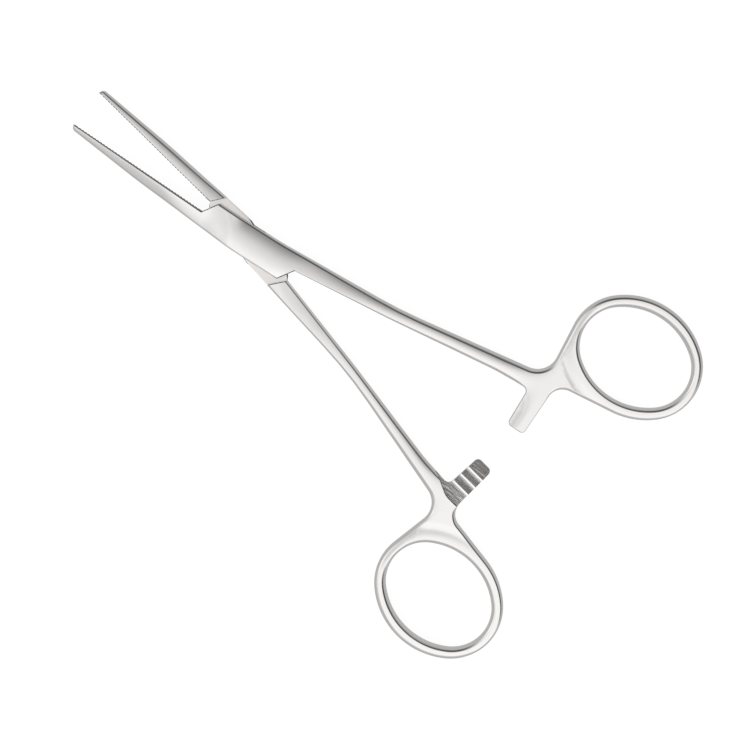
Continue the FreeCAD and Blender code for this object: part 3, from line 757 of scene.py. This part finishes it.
def slotCutter(k):
    slant, halfWidth = math.radians(k["tongueSlant"]), k["tongueWidth"] / 2 + k["stopGap"]
    openWay = math.pi / 2 - slant - math.radians(k["fullOpen"])
    middleWay = math.pi / 2 - slant - math.radians(k["fullOpen"]) / 2
    corner = halfWidth / math.cos(math.radians(k["fullOpen"]) / 2)
    side = k["sideY"]
    shutX = k["tongueX"] + k["stopGap"]
    shutY = (halfWidth - shutX * math.sin(slant)) / math.cos(slant)
    end = [
        ((halfWidth - side * math.sin(openWay)) / math.cos(openWay), side),
        (corner * math.cos(middleWay), corner * math.sin(middleWay)),
        (shutX, shutY),
        (shutX + overSide, shutY - overSide),
        (shutX + overSide, -side),
    ]
    reach = k["tongueThick"] / 2 + k["tongueGap"]
    # the slot's walls take the near-black steel: painted shade in the gap
    return cutterObject("slot", [straightPrism(end + opposite(end), -reach, reach)], "milled", "cut")


def pinSolid(radius, head, reach, sink, count=64):
    # a plain pin with two conical heads, or its bore
    turns = np.linspace(0, 2 * math.pi, count, endpoint=False)
    ring = [(-reach, head), (-reach + sink, radius), (reach - sink, radius), (reach, head)]
    points = [(r * math.cos(t), r * math.sin(t), z) for z, r in ring for t in turns]
    return points, closedFaces(len(ring), count)


def millingCutter(k, h, steps=6, stations=81):
    # Leaves the tongue between its two shoulders. Each station across the tongue holds one profile: up the
    # shoulder, round its edge up to the crowned flat, and out over it.
    lean = (k["notch"][0] - k["cheekX"]) / (k["notch"][1] + k["cheekHalf"])
    shift = k["shoulderGap"] * math.sqrt(1 + lean ** 2)
    y = np.linspace(-k["sideY"], k["sideY"], stations)
    turns = np.linspace(0, math.pi / 2, steps)
    level = k["tongueThick"] / 2
    edge = k["edgeBreak"]

    def shoulder(y, side):
        line = side * (k["cheekX"] + shift + lean * k["cheekHalf"]) - lean * y
        out = line[:, None] + side * edge * (1 - np.cos(turns))
        top = topHeight(h, out, y[:, None]) + k["overCrown"] - edge * (1 - np.sin(turns))
        x = np.column_stack([line, out, out[:, -1]])
        z = np.column_stack([np.full(len(y), level), top, np.full(len(y), overHeight)])
        return np.stack([x, np.broadcast_to(y[:, None], x.shape), z], axis=-1)

    profile = np.concatenate([shoulder(y, 1), shoulder(y, -1)[:, ::-1]], axis=1)
    count = profile.shape[1]
    points = profile.reshape(-1, 3)
    faces = closedFaces(stations, count)
    return [(points, faces), (points * (1, 1, -1), faces)]


def tongueCutters(k):
    side = k["sideY"]
    slant = math.radians(k["tongueSlant"])
    halfWidth = k["tongueWidth"] / 2
    bandY = (halfWidth - k["tongueX"] * math.sin(slant)) / math.cos(slant)
    edge = [
        ((halfWidth - side * math.cos(slant)) / math.sin(slant), -side),
        (k["tongueX"], -bandY),
        (k["tongueX"] + bandY, 0.0),
        (k["tongueX"] + overSide, 0.0),
        (k["tongueX"] + overSide, -side),
    ]
    level = k["tongueThick"] / 2
    above = breakRows(level, k["sideBreak"])
    below = [(-z, grow) for z, grow in above[::-1]]
    far = k["sideBreak"]
    rows = [(-overHeight, far)] + below + above + [(overHeight, far)]
    radius = k["pinRadius"] + k["pinGap"]
    sides = [prism(edge, *rows), prism(opposite(edge), *rows)]
    # the shoulders' and sides' walls take the near-black steel: painted shade along the cheek's edges
    return [cutterObject("milling", millingCutter(k, half), "milled", "cut", flatFaces),
            cutterObject("sides", sides, "milled", "cut", levelFaces),
            cutterObject("bore", [pinSolid(radius, radius, overHeight, 1)], "milled")]


grip = {
    "start": 12.9,
    "pitch": 0.75,
    "land": 0.28,
    "depth": 0.15,
    "last": 0.9,
    "clear": 0.002,     # how far the cutter stays off the lands
    "below": 1.0,
    "faceStart": (11.55, 0.28),
    "tip": (43.9, 0.02),
}


def grooveCutter(g):
    # a saw outline along the gripping face, with a flat land between the grooves
    (x0, y0), (x1, y1) = g["faceStart"], g["tip"]
    count = math.floor((x1 - g["last"] - g["start"]) / g["pitch"]) + 1
    middles = g["start"] + g["pitch"] * np.arange(count)
    halfWidth = (g["pitch"] - g["land"]) / 2

    def face(x):
        return y0 + (y1 - y0) * (x - x0) / (x1 - x0)

    saw = [(middles[0] - 2 * halfWidth, face(middles[0]) - g["depth"])]
    for m in middles:
        saw += [(m - halfWidth, face(m - halfWidth) - g["clear"]), (m, face(m) + g["depth"]),
                (m + halfWidth, face(m + halfWidth) - g["clear"])]
    saw += [(middles[-1] + 2 * halfWidth, face(middles[-1]) - g["depth"])]
    saw += [(middles[-1], -g["below"]), (middles[0], -g["below"])]
    # the grooves' faces take the dark steel: painted shade on the gripping face
    return cutterObject("grooves", [straightPrism(saw[::-1], -overHeight, overHeight)], "shadedSerrated")


ratchet = {
    "armX": 65.7,
    "armFar": armFar,
    "armOver": 1.65,
    "crestFirst": 1.0,
    "crestPitch": 2.13,
    "crestCount": 3,
    "crestRise": 0.12,
    "crestLand": 0.38,
    "crestFall": 0.045,
    "toothDepth": 0.75,
    "toothFoot": 0.06,
    "shoulderDrop": 8.6,
    "shoulderRun": 1.2,
    "shoulderBend": 4.0,
    "scoopExit": 3.6,
    "sawPast": 4.0,     # how far the saw reaches past the arm into the shank's milled side
    "scoopTop": 8.75,
    "shoulderTop": 1.96,
    "edgeBreak": 0.18,
    "clear": 0.004,     # how far the cutter stays off the halved faces
    # the shank's inner side before the arm: its length, and how far from the closing line it ends and starts
    "webStart": 7.7,
    "armRoot": 6.8,
    "webDrop": 6.28,
}


def ratchetCutters(r):
    # the arm's lower half is milled off up to a shoulder, and saw teeth are cut across what is left
    fall = (r["armRoot"] - r["webDrop"]) / r["webStart"]
    exitX, exitY = r["armX"] - r["scoopExit"], r["armRoot"] - fall * r["scoopExit"]
    turnX = r["armX"] + r["shoulderRun"]
    far = -(r["armFar"] + overSide)
    offX = turnX - 2 * exitX
    bend = [(far, -r["shoulderDrop"]), (-turnX, -r["shoulderDrop"]), (offX, r["shoulderDrop"] - 2 * exitY)]
    spots = filletRun([np.array(q) for q in bend], [(0, 0, r["shoulderBend"], "round")])
    over = r["armOver"] + overSide
    shoulder = [bend[0]] + [tuple(place[0]) for place in spots] + [bend[2], (offX, over), (far, over)]
    floor = r["toothDepth"] - r["crestRise"]
    level = -r["crestRise"]
    slope = r["toothDepth"] / r["crestPitch"]
    saw = [(over, level - 1), (over, slope * (over + r["crestFirst"]) + level)]
    for i in range(r["crestCount"]):
        crest = -(r["crestFirst"] + i * r["crestPitch"])
        edge = crest - r["crestLand"]
        saw += [(crest, level + r["clear"]), (edge, level + r["crestFall"]), (edge - r["toothFoot"], floor)]
    saw += [(-r["scoopTop"], level + r["clear"]), (-r["scoopTop"], level - 1)]
    points, faces = straightPrism(saw, far, -(r["armX"] - r["sawPast"]))
    teeth = points[:, [2, 0, 1]], faces
    rows = [(-overHeight, r["edgeBreak"])] + breakRows(-r["shoulderTop"], r["edgeBreak"])[::-1] + [(level, 0)]
    # the halving's walls take the near-black steel: painted shade in the recess
    return [cutterObject("halving", [prism(shoulder, *rows)], "ground", "cut"),
            cutterObject("teeth", [teeth], "ground", "polished", slopedFaces)]


crownStep = 0.02        # over which the crown's slope is taken
onCrown = 2e-4          # how near to the crowned flat a corner of it lies
sharpTurn = 32.0        # an edge that turns by more degrees is sharp


def evenShading(obj, h):
    # Broad flats keep their own direction, and on the crowned flat each corner takes the crown's slope
    even = obj.modifiers.new("evenShading", "WEIGHTED_NORMAL")
    even.keep_sharp = True
    bpy.context.view_layer.update()
    mesh = bpy.data.meshes.new_from_object(obj.evaluated_get(bpy.context.evaluated_depsgraph_get()))
    corners, faces = len(mesh.loops), len(mesh.polygons)
    spots, normals, ids = np.empty(len(mesh.vertices) * 3), np.empty(corners * 3), np.empty(corners, int)
    starts, facing = np.empty(faces, int), np.empty(faces * 3)
    mesh.vertices.foreach_get("co", spots)
    mesh.corner_normals.foreach_get("vector", normals)
    mesh.loops.foreach_get("vertex_index", ids)
    mesh.polygons.foreach_get("loop_start", starts)
    mesh.polygons.foreach_get("normal", facing)
    normals = normals.reshape(-1, 3)
    x, y, z = spots.reshape(-1, 3)[ids].T
    top = topHeight(h, x, y)
    slope = np.column_stack([(top - topHeight(h, x + crownStep, y)) / crownStep,
                             (top - topHeight(h, x, y + crownStep)) / crownStep,
                             np.ones(corners)])
    slope = slope / np.linalg.norm(slope, axis=1)[:, None]
    slope[:, 2] *= np.sign(z)
    facing = np.repeat(facing.reshape(-1, 3), np.diff(np.append(starts, corners)), axis=0)
    onFlat = (np.abs(np.abs(z) - top) < onCrown) & ((facing * slope).sum(1) > flatFaces[0])
    normals[onFlat] = slope[onFlat]
    mesh.normals_split_custom_set(normals.tolist())
    return mesh


def markSharp(mesh):
    # by their turn, and where the ground steel meets another
    mesh.polygons.foreach_set("use_smooth", [True] * len(mesh.polygons))
    mesh.set_sharp_from_angle(angle=math.radians(sharpTurn))
    shape = bmesh.new()
    shape.from_mesh(mesh)
    for edge in shape.edges:
        kinds = {mesh.materials[face.material_index].name for face in edge.link_faces}
        if len(kinds) > 1 and "groundSteel" in kinds:
            edge.smooth = False
    shape.to_mesh(mesh)
    shape.free()


def finishPiece(mesh, h, name, place, body, node):
    markSharp(mesh)
    obj = bpy.data.objects.new(name, mesh)
    bpy.context.scene.collection.objects.link(obj)
    mesh = evenShading(obj, h)
    obj.modifiers.clear()
    obj.data = mesh
    mesh.name = name
    # the piece's own place, in millimetres, for its steels
    spots = np.empty(len(mesh.vertices) * 3, np.float32)
    mesh.vertices.foreach_get("co", spots)
    mesh.attributes.new("own", "FLOAT_VECTOR", "POINT").data.foreach_set("vector", spots)
    mesh.transform(place)
    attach(obj, body)
    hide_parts(node)
    return obj


def halfBlank(h):
    obj = bpy.data.objects.new("half", blankMesh(h))
    bpy.context.scene.collection.objects.link(obj)
    cutAway(obj, ratchetCutters(ratchet) + [grooveCutter(grip)])
    return obj


millimetres = Matrix.Scale(0.001, 4)
lift = Matrix.Translation((0, 0, lock["lift"]))
halfOpen = math.radians(lock["openAngle"] / 2)
boxPlace = millimetres @ lift @ Matrix.Rotation(halfOpen, 4, "Z")
turnedOver = Matrix.Rotation(math.pi, 4, "X")
tonguePlace = millimetres @ lift @ Matrix.Rotation(-halfOpen, 4, "Z") @ turnedOver

tongue = halfBlank(half)
print("half forging made", len(tongue.data.polygons), "faces")
cutAway(tongue, tongueCutters(lock))
tonguePiece = finishPiece(tongue.data, half, "tongueHalf", tonguePlace, "tongue_side",
                          "tongue_half")
bpy.data.objects.remove(tongue)

forged = halfBlank(boxShape)
pinArea = pinSolid(lock["pinRadius"], lock["headRadius"], lock["pinReach"], lock["headSink"])
pin = bpy.data.objects.new("pin", forged.data.copy())
bpy.context.scene.collection.objects.link(pin)
cutAway(pin, [cutterObject("pinArea", [pinArea], "milled")], "INTERSECT")
pinPiece = finishPiece(pin.data, boxShape, "rivetPin", boxPlace, "box_side", "rivet_pin")
bpy.data.objects.remove(pin)
cutAway(forged, [slotCutter(lock), cutterObject("pinArea", [pinArea], "milled")])
boxPiece = finishPiece(forged.data, boxShape, "boxHalf", boxPlace, "box_side", "box_half")
bpy.data.objects.remove(forged)
print("pieces finished", *(len(piece.data.polygons) for piece in (boxPiece, tonguePiece, pinPiece)))
